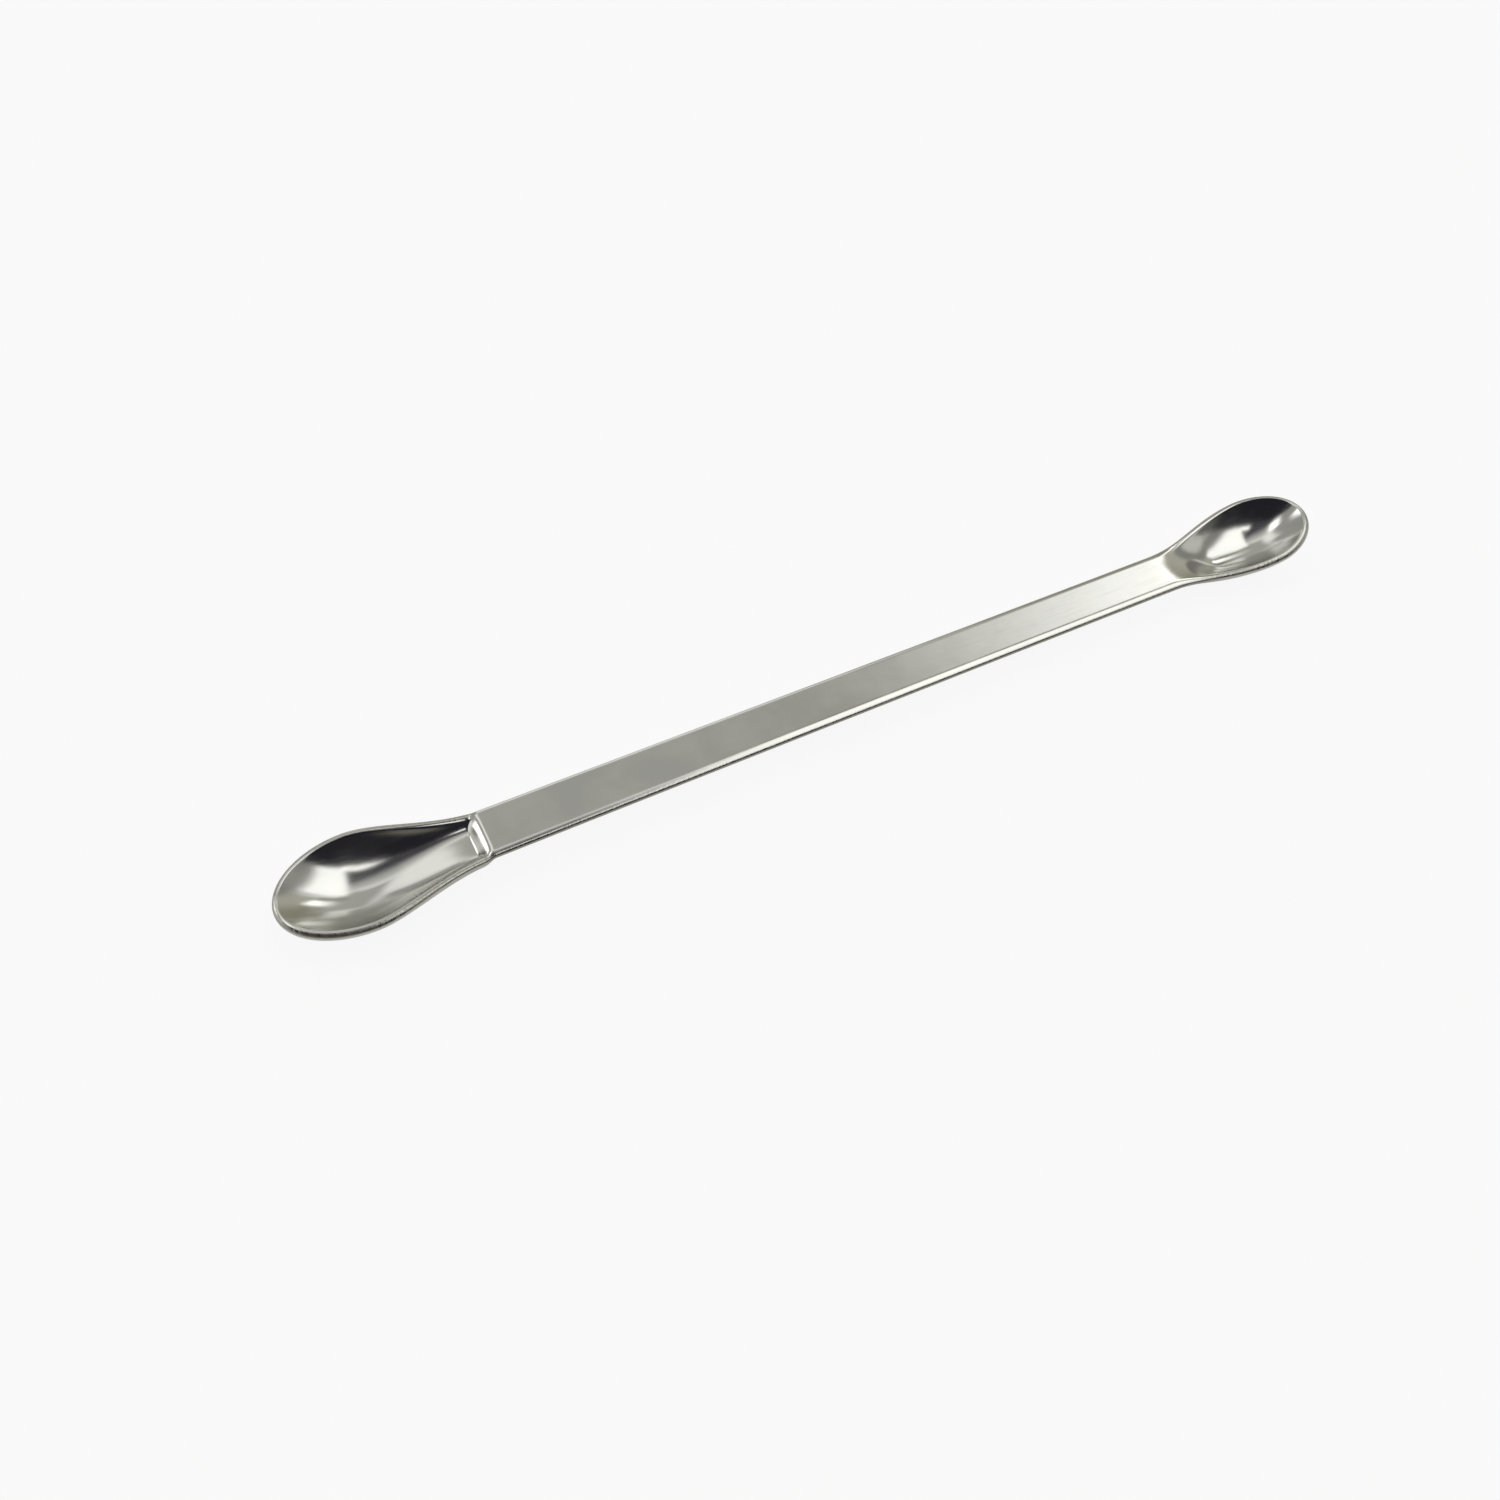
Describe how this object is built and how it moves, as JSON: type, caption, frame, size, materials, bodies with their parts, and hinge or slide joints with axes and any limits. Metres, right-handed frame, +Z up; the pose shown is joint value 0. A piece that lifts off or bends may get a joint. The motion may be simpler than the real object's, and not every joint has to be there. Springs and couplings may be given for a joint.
{
  "type": "lab spatula",
  "caption": "Double-ended lab spatula of stamped sheet steel: a flat handle between a large spoon bowl and a small one, for taking up and dosing powders.",
  "frame": {"origin": "on the table under the middle of the part's length, where it lies on the undersides of its two bowls", "axes": "+X from the big bowl to the small one, +Y across the handle, +Z up, out of the hollows of the bowls; the handle itself falls by 0.3 degrees towards +X, because the big bowl that it rests on is the deeper one"},
  "size_m": [0.1605, 0.016, 0.007],
  "materials": {
    "steel": "polished"
  },
  "bodies": {
    "root": {"spatula": "steel"}
  },
  "joints": []
}
